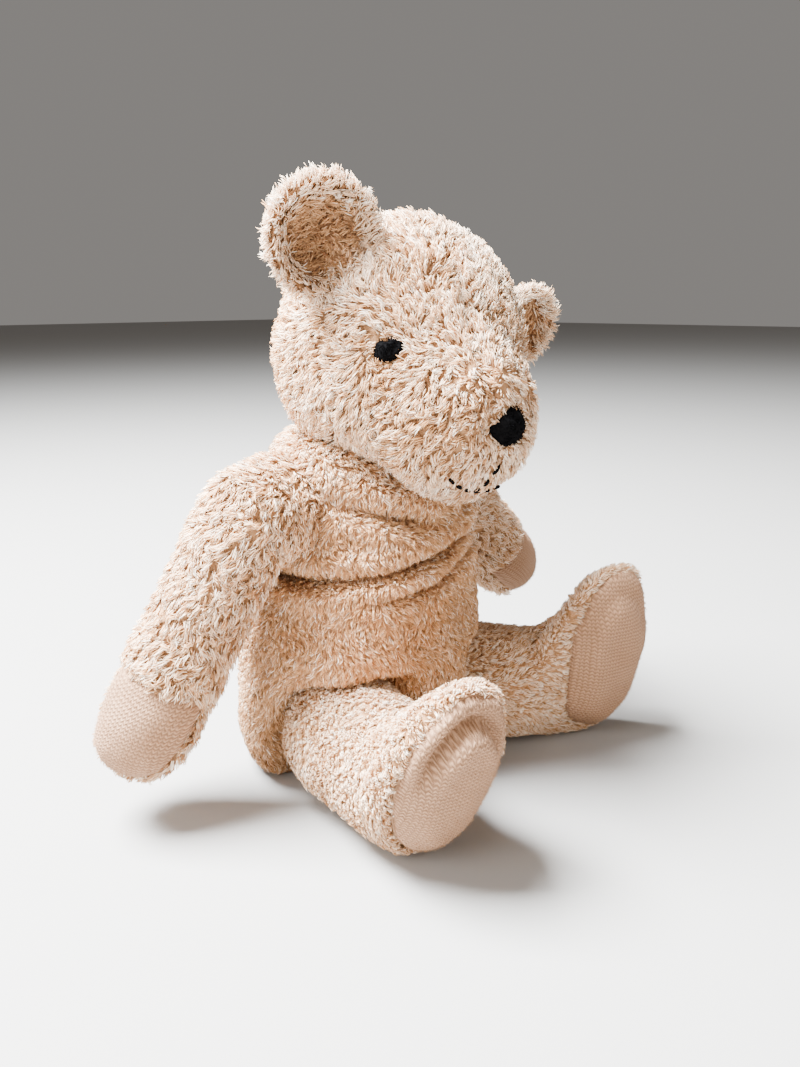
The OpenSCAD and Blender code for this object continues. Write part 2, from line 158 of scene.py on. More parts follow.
def relaxed(mesh, co, rounds, weight=None):
    """Points after each moves towards the middle of its neighbours."""
    edges = np.empty(len(mesh.edges) * 2, np.int32)
    mesh.edges.foreach_get("vertices", edges)
    a, b = edges.reshape(-1, 2).T
    count = np.maximum(np.bincount(np.concatenate([a, b]), minlength=len(co)), 1)
    step = RELAX_SHARE if weight is None else RELAX_SHARE * weight[:, None]
    for _ in range(rounds):
        near = np.stack(
            [
                np.bincount(a, co[b, k], len(co)) + np.bincount(b, co[a, k], len(co))
                for k in range(3)
            ],
            1,
        )
        co = co + step * (near / count[:, None] - co)
    return co


def all_smooth(mesh):
    mesh.polygons.foreach_set("use_smooth", [True] * len(mesh.polygons))


def ring_faces(rings, around, closed=False):
    """Quads between neighbouring rings of points. closed joins the last ring to the first."""
    return [
        (
            r * around + k,
            r * around + (k + 1) % around,
            (r + 1) % rings * around + (k + 1) % around,
            (r + 1) % rings * around + k,
        )
        for r in range(rings if closed else rings - 1)
        for k in range(around)
    ]


def end_caps(rings, around):
    """The faces that close the first and the last ring."""
    return [tuple(range(around))[::-1], tuple((rings - 1) * around + k for k in range(around))]


def outward_faces(mesh, merge=0.0):
    """Turns every face outwards, after points nearer than merge become one."""
    bm = bmesh.new()
    bm.from_mesh(mesh)
    if merge:
        bmesh.ops.remove_doubles(bm, verts=bm.verts, dist=merge)
    bmesh.ops.recalc_face_normals(bm, faces=bm.faces)
    bm.to_mesh(mesh)
    bm.free()


def one_shell(mesh):
    """Keeps only the largest connected part."""
    bm = bmesh.new()
    bm.from_mesh(mesh)
    left, best = set(bm.verts), []
    while left:
        stack, part = [left.pop()], []
        while stack:
            vert = stack.pop()
            part.append(vert)
            for edge in vert.link_edges:
                other = edge.other_vert(vert)
                if other in left:
                    left.remove(other)
                    stack.append(other)
        if len(part) > len(best):
            best = part
    kept = set(best)
    bmesh.ops.delete(bm, geom=[v for v in bm.verts if v not in kept], context="VERTS")
    bm.to_mesh(mesh)
    bm.free()


VOXEL = 2.6 * MM


def filled_form(name, nodes, smoothing=6):
    """One closed soft form around the given CAD nodes."""
    bm = bmesh.new()
    for node in nodes:
        bm.from_mesh(frame["nodes"][node].data)
    mesh = bpy.data.meshes.new(name)
    bm.to_mesh(mesh)
    bm.free()
    made = new_object(name, mesh)
    add_modifier(made, "REMESH", mode="VOXEL", voxel_size=VOXEL, adaptivity=0)
    apply_modifiers(made)
    one_shell(made.data)
    set_points(made.data, relaxed(made.data, points_of(made.data), smoothing))
    return made


PUFF_PRESSURE = 4.0
PUFF_FRAMES = 16
PUFF_MOST = 1.6 * MM


def puffed(made):
    """Blows the form up a little, as cloth under the stuffing's pressure, so that it lies as fabric does."""
    before = points_of(made.data)
    cloth = add_modifier(made, "CLOTH")
    cloth.settings.quality = 4
    cloth.settings.mass = 0.2
    cloth.settings.tension_stiffness = 12
    cloth.settings.compression_stiffness = 12
    cloth.settings.bending_stiffness = 0.6
    cloth.settings.use_pressure = True
    cloth.settings.uniform_pressure_force = PUFF_PRESSURE
    cloth.settings.effector_weights.gravity = 0
    cloth.collision_settings.use_collision = False
    scene = bpy.context.scene
    for number in range(1, PUFF_FRAMES + 1):
        scene.frame_set(number)
    apply_modifiers(made)
    scene.frame_set(1)
    move = points_of(made.data) - before
    length = np.linalg.norm(move, axis=1, keepdims=True)
    set_points(made.data, before + move * np.minimum(1, PUFF_MOST / np.maximum(length, 1e-9)))


def subdivided(made):
    add_modifier(made, "SUBSURF", levels=1, render_levels=1)
    apply_modifiers(made)


def node_tree_of(node):
    mesh = frame["nodes"][node].data
    return BVHTree.FromPolygons(
        [tuple(v.co) for v in mesh.vertices], [tuple(p.vertices) for p in mesh.polygons]
    )


def distances(tree, co):
    return np.array([tree.find_nearest(Vector(p))[3] for p in co])


# ---------- Materials ----------

def shader(name, colour, roughness, sheen=0.0, specular=0.25):
    made = bpy.data.materials.new(name)
    made.use_nodes = True
    bsdf = made.node_tree.nodes["Principled BSDF"]
    bsdf.inputs["Base Color"].default_value = (*colour, 1)
    bsdf.inputs["Roughness"].default_value = roughness
    bsdf.inputs["Sheen Weight"].default_value = sheen
    bsdf.inputs["Sheen Roughness"].default_value = 0.5
    bsdf.inputs["Specular IOR Level"].default_value = specular
    return made, made.node_tree, bsdf


def node(tree, kind, **inputs):
    made = tree.nodes.new(kind)
    for name, value in inputs.items():
        made.inputs[name.replace("_", " ")].default_value = value
    return made


def math_node(tree, operation, *values):
    made = tree.nodes.new("ShaderNodeMath")
    made.operation = operation
    for socket, value in zip(made.inputs, values):
        if isinstance(value, (int, float)):
            socket.default_value = value
        else:
            tree.links.new(value, socket)
    return made.outputs[0]


def colour_mix(tree, factor, a, b):
    made = tree.nodes.new("ShaderNodeMix")
    made.data_type = "RGBA"
    tree.links.new(factor, made.inputs["Factor"])
    for socket, value in ((made.inputs["A"], a), (made.inputs["B"], b)):
        if isinstance(value, tuple):
            socket.default_value = (*value, 1)
        else:
            tree.links.new(value, socket)
    return made.outputs["Result"]


PILE_COLOURS = (    # four pale shades of the yarn, then four tan ones
    (0.82, 0.57, 0.37),
    (0.87, 0.65, 0.46),
    (0.93, 0.77, 0.62),
    (0.70, 0.43, 0.25),
    (0.58, 0.305, 0.135),
    (0.62, 0.34, 0.165),
    (0.50, 0.25, 0.105),
    (0.38, 0.18, 0.075),
)
PALE_SHARES = (0.34, 0.28, 0.20, 0.14, 0.04, 0.0, 0.0, 0.0)
TAN_SHARES = (0.0, 0.0, 0.0, 0.08, 0.36, 0.26, 0.22, 0.08)


def pile_materials():
    """The shades of one cotton yarn, and a darker one, painted shade deep in the pile, for where long strands
    leave the backing.
    """
    shades = [
        shader(f"plush_yarn_{k + 1}", colour, 0.85, sheen=0.05)[0]
        for k, colour in enumerate(PILE_COLOURS)
    ]
    return [*shades, shader("plush_yarn_root_painted_shade", (0.28, 0.145, 0.07), 0.9)[0]]


def shaded_backing_material():
    """The woven backing that shows between the tufts, coloured dark brown as painted shade down between them;
    the blotches vary its tone at random.
    """
    made, tree, bsdf = shader("plush_backing_painted_shade", (0.6, 0.4, 0.25), 0.95)
    place = tree.nodes.new("ShaderNodeTexCoord").outputs["Object"]
    blotch = node(tree, "ShaderNodeTexNoise", Scale=120.0, Detail=3.0)
    weave = node(tree, "ShaderNodeTexNoise", Scale=1400.0, Detail=2.0)
    for texture in (blotch, weave):
        tree.links.new(place, texture.inputs["Vector"])
    # Both tones are dark: painted shade between the tufts.
    tone = colour_mix(tree, blotch.outputs["Fac"], (0.25, 0.125, 0.055), (0.38, 0.20, 0.095))
    tree.links.new(tone, bsdf.inputs["Base Color"])
    relief = node(tree, "ShaderNodeBump", Strength=0.6, Distance=0.0004)
    tree.links.new(weave.outputs["Fac"], relief.inputs["Height"])
    tree.links.new(relief.outputs["Normal"], bsdf.inputs["Normal"])
    return made


KNIT_PITCH = 1.45 * MM


def knit_material():
    """Stocking stitch: columns of slanted loops, about 1.5 mm apart, a little worn and uneven."""
    made, tree, bsdf = shader("knitted_velour", (0.35, 0.2, 0.1), 0.9, sheen=0.03)
    places = tree.nodes.new("ShaderNodeUVMap")
    places.uv_map = "knit"
    wobble = node(tree, "ShaderNodeTexNoise", Scale=0.35, Detail=2.0)
    tree.links.new(places.outputs["UV"], wobble.inputs["Vector"])
    split = tree.nodes.new("ShaderNodeSeparateXYZ")
    tree.links.new(places.outputs["UV"], split.inputs["Vector"])
    shift = math_node(tree, "MULTIPLY", wobble.outputs["Fac"], 0.8)
    u = math_node(tree, "ADD", split.outputs["X"], shift)
    v = math_node(tree, "ADD", split.outputs["Y"], shift)
    across = math_node(tree, "ABSOLUTE", math_node(tree, "SUBTRACT", math_node(tree, "FRACT", u), 0.5))
    column = math_node(tree, "SINE", math_node(tree, "MULTIPLY", math_node(tree, "FRACT", u), math.pi))
    slant = math_node(tree, "ADD", v, math_node(tree, "MULTIPLY", across, 1.1))
    loop = math_node(tree, "SINE", math_node(tree, "MULTIPLY", slant, 2 * math.pi))
    loop = math_node(tree, "MULTIPLY_ADD", loop, 0.5, 0.5)
    height = math_node(tree, "MULTIPLY", math_node(tree, "POWER", column, 0.5), loop)
    fuzz = node(tree, "ShaderNodeTexNoise", Scale=5.0, Detail=3.0)
    tree.links.new(places.outputs["UV"], fuzz.inputs["Vector"])
    height = math_node(tree, "MULTIPLY_ADD", fuzz.outputs["Fac"], 0.5, height)
    patch = node(tree, "ShaderNodeTexNoise", Scale=0.12, Detail=3.0)
    tree.links.new(places.outputs["UV"], patch.inputs["Vector"])
    # Low in the stitch, in the grooves between the loops, the colour is darker: painted shade. The patches
    # vary the tone at random.
    low = colour_mix(tree, patch.outputs["Fac"], (0.12, 0.055, 0.025), (0.16, 0.075, 0.037))
    high = colour_mix(tree, patch.outputs["Fac"], (0.37, 0.20, 0.108), (0.46, 0.27, 0.16))
    tree.links.new(colour_mix(tree, height, low, high), bsdf.inputs["Base Color"])
    relief = node(tree, "ShaderNodeBump", Strength=0.9, Distance=0.00035)
    tree.links.new(height, relief.inputs["Height"])
    tree.links.new(relief.outputs["Normal"], bsdf.inputs["Normal"])
    return made


def grain_material(name, dark, light, roughness, scale, metallic=0.0, specular=0.25):
    """A plain material whose colour wanders between dark and light, in grains of the scale given."""
    made, tree, bsdf = shader(name, light, roughness, specular=specular)
    bsdf.inputs["Metallic"].default_value = metallic
    place = tree.nodes.new("ShaderNodeTexCoord").outputs["Object"]
    grain = node(tree, "ShaderNodeTexNoise", Scale=scale, Detail=4.0)
    tree.links.new(place, grain.inputs["Vector"])
    tree.links.new(colour_mix(tree, grain.outputs["Fac"], dark, light), bsdf.inputs["Base Color"])
    return made


def black_wool_material():
    dark, light = (0.0008, 0.0008, 0.001), (0.004, 0.0037, 0.004)
    return grain_material("black_wool", dark, light, 0.9, 2500.0, specular=WOOL_SPECULAR)


def black_fuzz_material():
    return shader("black_wool_fuzz", (0.002, 0.002, 0.0024), 0.9, specular=WOOL_SPECULAR)[0]


def knit_fuzz_material():
    return shader("knit_fuzz", (0.42, 0.235, 0.13), 0.9)[0]


def seam_thread_material():
    return grain_material("seam_thread", (0.24, 0.13, 0.065), (0.40, 0.235, 0.135), 0.9, 1500.0)


def steel_material():
    return grain_material("pin_steel", (0.42, 0.42, 0.43), (0.62, 0.62, 0.63), 0.32, 300.0, metallic=1.0)


def fibreboard_material():
    return grain_material("fibreboard", (0.22, 0.13, 0.07), (0.40, 0.26, 0.15), 0.8, 900.0)


WOOL_SPECULAR = 0.03
PILE = pile_materials()
SHADED_BACKING = shaded_backing_material()
KNIT = knit_material()
BLACK_WOOL = black_wool_material()
BLACK_FUZZ = black_fuzz_material()
KNIT_FUZZ = knit_fuzz_material()
SEAM_THREAD = seam_thread_material()
STEEL = steel_material()
FIBREBOARD = fibreboard_material()


# ---------- Pile ----------

STRANDS_PER_PIECE = 13000
STRANDS_PER_CLUMP = 9
SIDES_OF_STRAND = 3
STRAND_WIDTH = 0.36 * MM
ROOT_PAINTED_SHADE = len(PILE_COLOURS)
ROOT_DEPTH = 0.35 * MM      # how far a strand starts below the skin
THINNED = 1.0


def scattered(co, normals, triangles, density, rng):
    """Random root points: places, normals, and a function that carries values from the corners to them."""
    a, b, c = (co[triangles[:, k]] for k in range(3))
    area = np.linalg.norm(np.cross(b - a, c - a), axis=1) / 2
    expected = area * density[triangles].mean(1) / MM**2 * THINNED
    picked = rng.choice(len(triangles), int(expected.sum()), p=expected / expected.sum())
    root, part = np.sqrt(rng.random(len(picked))), rng.random(len(picked))
    shares = np.stack([1 - root, root * (1 - part), root * part], 1)
    corners = triangles[picked]

    def carried(values):
        values = values[corners]
        return (values * (shares[..., None] if values.ndim == 3 else shares)).sum(1)

    return carried(co), unit(carried(normals)), carried


def nearest(centres, p):
    tree = KDTree(len(centres))
    for k, centre in enumerate(centres):
        tree.insert(centre, k)
    tree.balance()
    return np.array([tree.find(point)[1] for point in p])


def strand_faces(rings):
    """The faces of one strand: quads between its rings, then triangles to the tip."""
    around = SIDES_OF_STRAND
    last = (rings - 1) * around
    tips = [(last + k, last + (k + 1) % around, rings * around) for k in range(around)]
    return ring_faces(rings, around) + tips


def strand_mesh(name, spines, widths, shades):
    """Tapered three-sided strands along spines (strand, point, 3), the last point being the tip."""
    count, length = spines.shape[:2]
    rings = length - 1
    along = unit(np.gradient(spines, axis=1))
    any_way = np.array([0.31, 0.17, 0.53])      # keeps the cross product from vanishing on a straight strand
    side = unit(np.cross(along, unit(spines[:, -1:] - spines[:, :1]) + any_way))
    other = np.cross(along, side)
    corners = []
    for k in range(SIDES_OF_STRAND):
        angle = 2 * math.pi * k / SIDES_OF_STRAND
        offset = math.cos(angle) * side[:, :rings] + math.sin(angle) * other[:, :rings]
        corners.append(spines[:, :rings] + offset * widths[:, :rings, None] / 2)
    body = np.stack(corners, 2).reshape(count, rings * SIDES_OF_STRAND, 3)
    verts = np.concatenate([body, spines[:, -1:]], 1)
    per_strand = verts.shape[1]
    faces = strand_faces(rings)
    loops = np.array([corner for face in faces for corner in face])
    sizes = np.array([len(face) for face in faces])
    mesh = bpy.data.meshes.new(name)
    mesh.vertices.add(count * per_strand)
    mesh.vertices.foreach_set("co", verts.astype(np.float32).ravel())
    corner_index = (loops[None] + np.arange(count)[:, None] * per_strand).ravel()
    mesh.loops.add(len(corner_index))
    mesh.loops.foreach_set("vertex_index", corner_index.astype(np.int32))
    starts = np.concatenate([[0], np.cumsum(np.tile(sizes, count))[:-1]])
    mesh.polygons.add(len(starts))
    mesh.polygons.foreach_set("loop_start", starts.astype(np.int32))
    shade = np.repeat(shades[:, None], len(sizes), 1)
    # The first segment of a longer strand takes the darker colour: painted shade deep in the pile.
    if rings > 2:
        shade[:, :SIDES_OF_STRAND] = ROOT_PAINTED_SHADE
    mesh.polygons.foreach_set("material_index", shade.ravel().astype(np.int32))
    mesh.update(calc_edges=True)
    all_smooth(mesh)
    return mesh


SEGMENTS = {3: (0.6, 0.4), 4: (0.36, 0.42, 0.22)}    # shares of a strand's length between its points
TAPERS = {3: (0.95, 1.0, 0.0), 4: (0.9, 1.1, 0.85, 0.0)}


def pile(name, body, mesh, length, comb, density, seed, tan_and_shade=None, lift=48.0, points=4):
    """Tufted pile over a skin, which it stands off by lift degrees at the root.

    length, comb, density and tan_and_shade (how many strands are of the tan shades, for tan yarn and, in the
    ear's hollow, for painted shade) hold a value for each corner.
    """
    rng = np.random.default_rng(seed)
    co, normals = points_of(mesh), normals_of(mesh)
    p, n, carried = scattered(co, normals, triangles_of(mesh), density, rng)
    count = len(p)
    long = carried(length) * rng.uniform(0.75, 1.2, count)
    centres = p[: max(1, count // STRANDS_PER_CLUMP)]
    clump = nearest(centres, p)
    clumps = len(centres)

    def spread(by_clump, by_strand):
        """Random degrees: one draw for each clump and a smaller one for each strand."""
        return rng.normal(0, by_clump, clumps)[clump] + rng.normal(0, by_strand, count)

    turn = np.radians(waves(p, 16 * MM, seed + 1) * 48 + spread(18, 8))
    bend = np.radians(spread(22, 8))
    rise = np.radians(lift + spread(11, 6))
    lean = carried(comb)
    lean = unit(lean - n * dot(lean, n))
    across = p - centres[clump]
    across -= n * dot(across, n)
    spine = [p - ROOT_DEPTH * n]
    steps = points - 1
    for k in range(steps):
        heading = about(lean, n, turn + bend * k)
        up = rise * (1 - 0.82 * k / (steps - 1))
        step = n * np.sin(up)[:, None] + heading * np.cos(up)[:, None]
        share = SEGMENTS[points][k]
        # Each step also draws the strand towards the middle of its clump.
        spine.append(spine[-1] + step * (long * share)[:, None] - across * 0.6 * share)
    spines = np.stack(spine, 1)
    spines[..., 2] = np.maximum(spines[..., 2], FLOOR_CLEARANCE)
    thick = STRAND_WIDTH * rng.uniform(0.8, 1.15, count)
    widths = thick[:, None] * np.array(TAPERS[points])[None]
    # Most strands share the shade of their clump.
    pale, brown = (
        np.where(
            rng.random(count) < 0.6,
            rng.choice(len(PILE_COLOURS), clumps, p=shares)[clump],
            rng.choice(len(PILE_COLOURS), count, p=shares),
        )
        for shares in (PALE_SHARES, TAN_SHARES)
    )
    browned = 0.0 if tan_and_shade is None else carried(tan_and_shade)
    shades = np.where(rng.random(count) < browned, brown, pale)
    # Neighbouring strands stay in one piece: pieces are slices of the skin from front to back.
    order = np.argsort(p @ unit(np.array([0.35, 1.0, 0.2])))
    for k, part in enumerate(np.array_split(order, math.ceil(count / STRANDS_PER_PIECE))):
        label = f"{name}_pile_{k + 1}"
        strands = new_object(label, strand_mesh(label, spines[part], widths[part], shades[part]))
        for material in PILE:
            strands.data.materials.append(material)
        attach(strands, body)


FUZZ_WIDTHS = np.array([0.3, 0.22, 0.0]) * MM


def fuzz(name, body, mesh, length, density, seed, slot, material, thin=1.0):
    """Short stray fibres that stand off an embroidered shape or a knitted pad."""
    rng = np.random.default_rng(seed)
    everywhere = np.full(len(mesh.vertices), density)
    p, n, _ = scattered(points_of(mesh), normals_of(mesh), triangles_of(mesh), everywhere, rng)
    long = length * rng.uniform(0.6, 1.3, len(p))[:, None]
    lean = unit(n + rng.normal(0, 0.55, n.shape))
    tip_lean = unit(lean + rng.normal(0, 0.5, n.shape))
    elbow = p + lean * long * 0.5
    spines = np.stack([p, elbow, elbow + tip_lean * long * 0.5], 1)
    widths = np.tile(FUZZ_WIDTHS * thin, (len(p), 1))
    strands = new_object(name, strand_mesh(name, spines, widths, np.zeros(len(p))))
    strands.data.materials.append(material)
    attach(strands, body)


# ---------- Skins ----------

def skin(made, body, material, nodes):
    all_smooth(made.data)
    made.data.materials.clear()
    made.data.materials.append(material)
    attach(made, body)
    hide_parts(*nodes)


def fold(n, line, along, depth, width, roll):
    """Moves for one crease in the fabric: deepest where line is 0, with a soft roll on either side."""
    beside = bump(line - 2.4 * width, 1.8 * width) + bump(line + 2.4 * width, 1.8 * width)
    move = roll * beside - depth * bump(line, width)
    return n * (move * along * MM)[:, None]


def torso_creases(co, n):
    """Moves for the creases over the front of the loosely stuffed body."""
    angle = np.arctan2(co[:, 0], -co[:, 1])
    z = co[:, 2]
    front = ramp(np.cos(angle + 0.35), -0.25, 0.4)
    across = np.degrees(angle)      # 0 in the middle of the front, positive to the bear's left
    # Two long creases over the belly, deepest by the right arm, rising to the left.
    first = z - (86.5 + 0.075 * across + 1.3 * np.sin(angle * 3 + 1)) * MM
    second = z - (79.5 + 0.10 * across + 1.2 * np.sin(angle * 4)) * MM
    move = fold(n, first, front * (1.1 - 0.45 * ramp(across, -60, 70)), 5.6, 2.4 * MM, 2.2)
    move += fold(n, second, front * ramp(across, -70, -25), 3.8, 2.1 * MM, 1.3)
    # A slanting crease from the right shoulder to below the chin, and a shorter one beside it.
    slant = z - (103.5 - 0.16 * (across + 40)) * MM
    move += fold(n, slant, bump(across + 33, 26), 4.8, 2.5 * MM, 2.6)
    other = z - (112 - 0.12 * (across + 10)) * MM
    move += fold(n, other, bump(across + 8, 24), 2.9, 2.2 * MM, 1.4)
    # A shallow crease below the left shoulder.
    left = z - (104 + 0.16 * (across - 45)) * MM
    return move + fold(n, left, bump(across - 42, 22), 2.4, 2.6 * MM, 1.4)


def torso():
    nodes = ["torso_front_panel", "torso_back_panel", "torso_stuffing"]
    made = filled_form("torso_skin", nodes)
    co = points_of(made.data)
    # The shoulders slope: the top corner is worn round.
    set_points(made.data, relaxed(made.data, co, 45, weight=ramp(co[:, 2], 101 * MM, 113 * MM)))
    puffed(made)
    subdivided(made)
    mesh = made.data
    co, n = points_of(mesh), normals_of(mesh)
    z = co[:, 2]
    co = co + torso_creases(co, n) + n * (waves(co, 26 * MM, 5) * 0.8 * MM)[:, None]
    co[:, 2] = np.maximum(co[:, 2], 0)
    set_points(mesh, relaxed(mesh, co, 1))
    skin(made, "torso", SHADED_BACKING, nodes)
    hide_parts("back_seam_stitches")
    length = (3.3 + 0.4 * waves(co, 22 * MM, 6) + 0.9 * ramp(z, 108 * MM, 118 * MM)) * MM
    comb = np.tile([0.1, -0.1, -1.0], (len(co), 1))
    density = np.where(z < 1.2 * MM, 0.5, 3.5)
    tan_and_shade = 0.82 - 0.30 * ramp(z, 100 * MM, 116 * MM)
    pile("torso", "torso", mesh, length, comb, density, 11, tan_and_shade=tan_and_shade, points=3, lift=46)
    for side in SIDES:
        shoulder_roll(side)


ROLL_SPOKES = 56
ROLL_PROFILE = (    # distance out from the joint and radius, in mm
    (-9, 12.5), (-6, 15.2), (-3, 17.0), (0, 18.2), (3, 18.5),
    (6, 17.9), (8.5, 16.6), (8.2, 15.0), (4, 14.2), (-2, 13.6),
)


def shoulder_roll(side):
    """The torso's fabric swells over the start of the arm, so that the joint lies under a soft fold."""
    origin = np.array(JOINTS[f"{side}_arm_turn"]["pos_m"])
    out = np.array([-1.0 if side == "right" else 1.0, 0, 0])
    turns = 2 * math.pi * np.arange(ROLL_SPOKES) / ROLL_SPOKES
    spokes = np.stack([0 * turns, np.cos(turns), np.sin(turns)], 1)
    rings = [origin + out * x * MM + spokes * r * MM for x, r in ROLL_PROFILE]
    mesh = bpy.data.meshes.new(f"{side}_shoulder_roll")
    mesh.from_pydata(np.concatenate(rings).tolist(), [], ring_faces(len(rings), ROLL_SPOKES, closed=True))
    outward_faces(mesh)
    made = new_object(f"{side}_shoulder_roll", mesh)
    subdivided(made)
    mesh = made.data
    co = points_of(mesh)
    set_points(mesh, co + normals_of(mesh) * (waves(co, 18 * MM, 8) * 0.5 * MM)[:, None])
    all_smooth(mesh)
    mesh.materials.append(SHADED_BACKING)
    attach(made, "torso")
    co = points_of(mesh)
    # Pile grows only where the swell faces away from the joint's axis.
    radial = unit((co - origin) * [0, 1, 1])
    density = 2.9 * ramp(dot(normals_of(mesh), radial)[:, 0], -0.15, 0.25)
    comb = np.tile(unit(out + [0, 0, -0.8]), (len(co), 1))
    length = np.full(len(co), 3.9 * MM)
    tan_and_shade = np.full(len(co), 0.6)
    pile(f"{side}_shoulder", "torso", mesh, length, comb, density, 17 + len(side), tan_and_shade=tan_and_shade, lift=36)


def head():
    nodes = ["head_gusset", "head_right_panel", "head_left_panel", "head_stuffing"]
    made = filled_form("head_skin", nodes, 8)
    puffed(made)
    subdivided(made)
    co = points_of(made.data)
    # The gusset's two seams lie in soft grooves, from the nose back over the head.
    panels = np.minimum(*(distances(node_tree_of(f"head_{side}_panel"), co) for side in SIDES))
    seam_line = distances(node_tree_of("head_gusset"), co) - panels
    groove = -1.7 * bump(seam_line, 1.6 * MM) + 0.5 * bump(np.abs(seam_line) - 4.5 * MM, 2.5 * MM)
    co += normals_of(made.data) * ((waves(co, 24 * MM, 15) * 0.6 + groove) * MM)[:, None]
    set_points(made.data, relaxed(made.data, co, 1))
    skin(made, "head", SHADED_BACKING, nodes)
    head_pile(made.data, co)
    return made


def head_pile(mesh, co):
    axis, origin, forward = head_axes()
    places = co - origin
    ahead = places @ forward
    length = (4.7 + 0.5 * waves(co, 20 * MM, 16)) * MM
    length *= 1 - 0.25 * ramp(ahead, 44 * MM, 58 * MM)
    density = np.full(len(co), 2.9)
    for bare, radius in bare_spots():
        away = np.linalg.norm(co - bare, axis=1)
        density *= ramp(away, radius * 0.75, radius * 1.05)
        length *= 0.55 + 0.45 * ramp(away, radius, radius * 1.9)
    # Combed back from the nose: up over the forehead, and down over the cheeks and chin.
    high = ramp(places @ axis, 26 * MM, 58 * MM)[:, None]
    comb = (0.75 * high - 0.95 * (1 - high)) * axis - 0.6 * forward
    tan_and_shade = 0.25 + 0.35 * waves(co, 30 * MM, 17) + 0.5 * ramp(-ahead, -6 * MM, 20 * MM)
    pile("head", "head", mesh, length, comb, density, 21, tan_and_shade=np.clip(tan_and_shade, 0, 1))


def head_axes():
    """The neck's axis, its place, and the way the face looks."""
    axis = unit(JOINTS["neck_turn"]["axis"])
    origin = np.array(JOINTS["neck_turn"]["pos_m"])
    forward = middle("nose") - origin
    return axis, origin, unit(forward - axis * (forward @ axis))


def bare_spots():
    """Where the pile gives way to embroidery: middle and radius."""
    eye_low, eye_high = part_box("right_eye")
    nose_low, nose_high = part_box("nose")
    eye_radius = (eye_high.z - eye_low.z) / 2
    nose_radius = (nose_high.z - nose_low.z) / 2
    return [
        (middle("right_eye"), eye_radius),
        (middle("left_eye"), eye_radius),
        (middle("nose"), nose_radius),
    ]


def arm(side):
    shoulder = np.array(JOINTS[f"{side}_arm_turn"]["pos_m"])
    limb(side, "arm", unit(middle(f"{side}_paw_pad") - shoulder))


def leg(side):
    hip = np.array(JOINTS[f"{side}_leg_turn"]["pos_m"])
    limb(side, "leg", unit((middle(f"{side}_foot_sole") - hip) * [1, 1, 0]))


LIMBS = {   # the pad's node, and in mm how far the pad swells and how far inside its edge the seam lies
    "arm": {"pad": "paw_pad", "swell": 0.8, "inset": 0.3},
    "leg": {"pad": "foot_sole", "swell": 4.0, "inset": 2.0},
}


def limb(side, kind, way):
    """An arm or a leg that points along way: furry skin and knitted pad, cut from one form."""
    body = f"{side}_{kind}"
    cover, stuffing, pad_node = f"{body}_cover", f"{body}_stuffing", f"{side}_{LIMBS[kind]['pad']}"
    made = filled_form(f"{body}_skin", [cover, pad_node, stuffing])
    puffed(made)
    subdivided(made)
    on_pad = limb_relief(made.data, side, kind, cover, pad_node, way) > 0
    pad_mesh = part_of(made.data, on_pad, f"{body}_pad")
    fur_mesh = part_of(made.data, ~on_pad, f"{body}_skin")
    made.data = fur_mesh
    skin(made, body, SHADED_BACKING, [cover, stuffing])
    limb_pad(side, kind, pad_mesh, pad_node, way)
    if kind == "arm":
        arm_pile(side, fur_mesh, way)
    else:
        leg_pile(side, fur_mesh, way)


def limb_relief(mesh, side, kind, cover, pad_node, way):
    """Shapes the seam, swells and folds of a limb. Returns how far each corner is inside the pad's seam."""
    co = points_of(mesh)
    inside = distances(node_tree_of(cover), co) - distances(node_tree_of(pad_node), co)
    inside = relaxed(mesh, np.repeat(inside[:, None], 3, 1), 6)[:, 0] - LIMBS[kind]["inset"] * MM
    if kind == "leg" and side == "left":
        # This toe is stuffed out more than the other.
        co[:, 2] += 5.5 * MM * ramp(co[:, 2], 30 * MM, 68 * MM)
    # The seam pulls the two fabrics in, and the pad swells between.
    n = normals_of(mesh)
    move = -1.7 * bump(inside, 1.3 * MM) + LIMBS[kind]["swell"] * ramp(inside, 1 * MM, 12 * MM)
    co += n * (move * MM)[:, None]
    if kind == "leg":
        # The stuffed foot swells behind its seam, and folds at the instep.
        upper = ramp(co[:, 2], 26 * MM, 44 * MM)
        co += fold(n, inside + 13 * MM, upper, 2.4, 2.4 * MM, 1.2)
        # The right sole is bunched below its toe, so a deep tuck runs along the seam there.
        tuck = ramp(co[:, 2], 34 * MM, 48 * MM) if side == "right" else 0.25 * upper
        co += fold(n, inside - 6.5 * MM, tuck, 4.2, 1.7 * MM, 1.5)
    pucker = np.sin(np.arctan2(*(co @ basis_across(way)).T) * 26) * bump(inside, 2.2 * MM)
    co += n * (pucker * 0.35 * MM + waves(co, 20 * MM, 31) * 0.5 * MM)[:, None]
    co[:, 2] = np.maximum(co[:, 2], 0)
    set_points(mesh, co)
    return inside


def limb_pad(side, kind, mesh, pad_node, way):
    """The knitted pad, the seam round it, and its nap."""
    body = f"{side}_{kind}"
    pad = new_object(f"{pad_node}_knit", mesh)
    knit_places(mesh, way, kind)
    skin(pad, body, KNIT, [pad_node])
    seam(f"{body}_seam", body, mesh)
    fuzz(f"{body}_pad_nap", body, mesh, 0.9 * MM, 1.1, 61 + len(side), "knit", KNIT_FUZZ, thin=0.45)


def arm_pile(side, mesh, way):
    co = points_of(mesh)
    length = (4.6 + 0.4 * waves(co, 18 * MM, 41)) * MM
    comb = np.tile(way, (len(co), 1))
    # None grows close to the joint, where the swell of the torso covers the arm.
    from_joint = np.abs(co[:, 0] - JOINTS[f"{side}_arm_turn"]["pos_m"][0])
    density = 2.7 * ramp(from_joint, 5.5 * MM, 7.5 * MM)
    tan_and_shade = np.full(len(co), 0.35)
    pile(f"{side}_arm", f"{side}_arm", mesh, length, comb, density, 51 + 7 * len(side), tan_and_shade=tan_and_shade, lift=36)


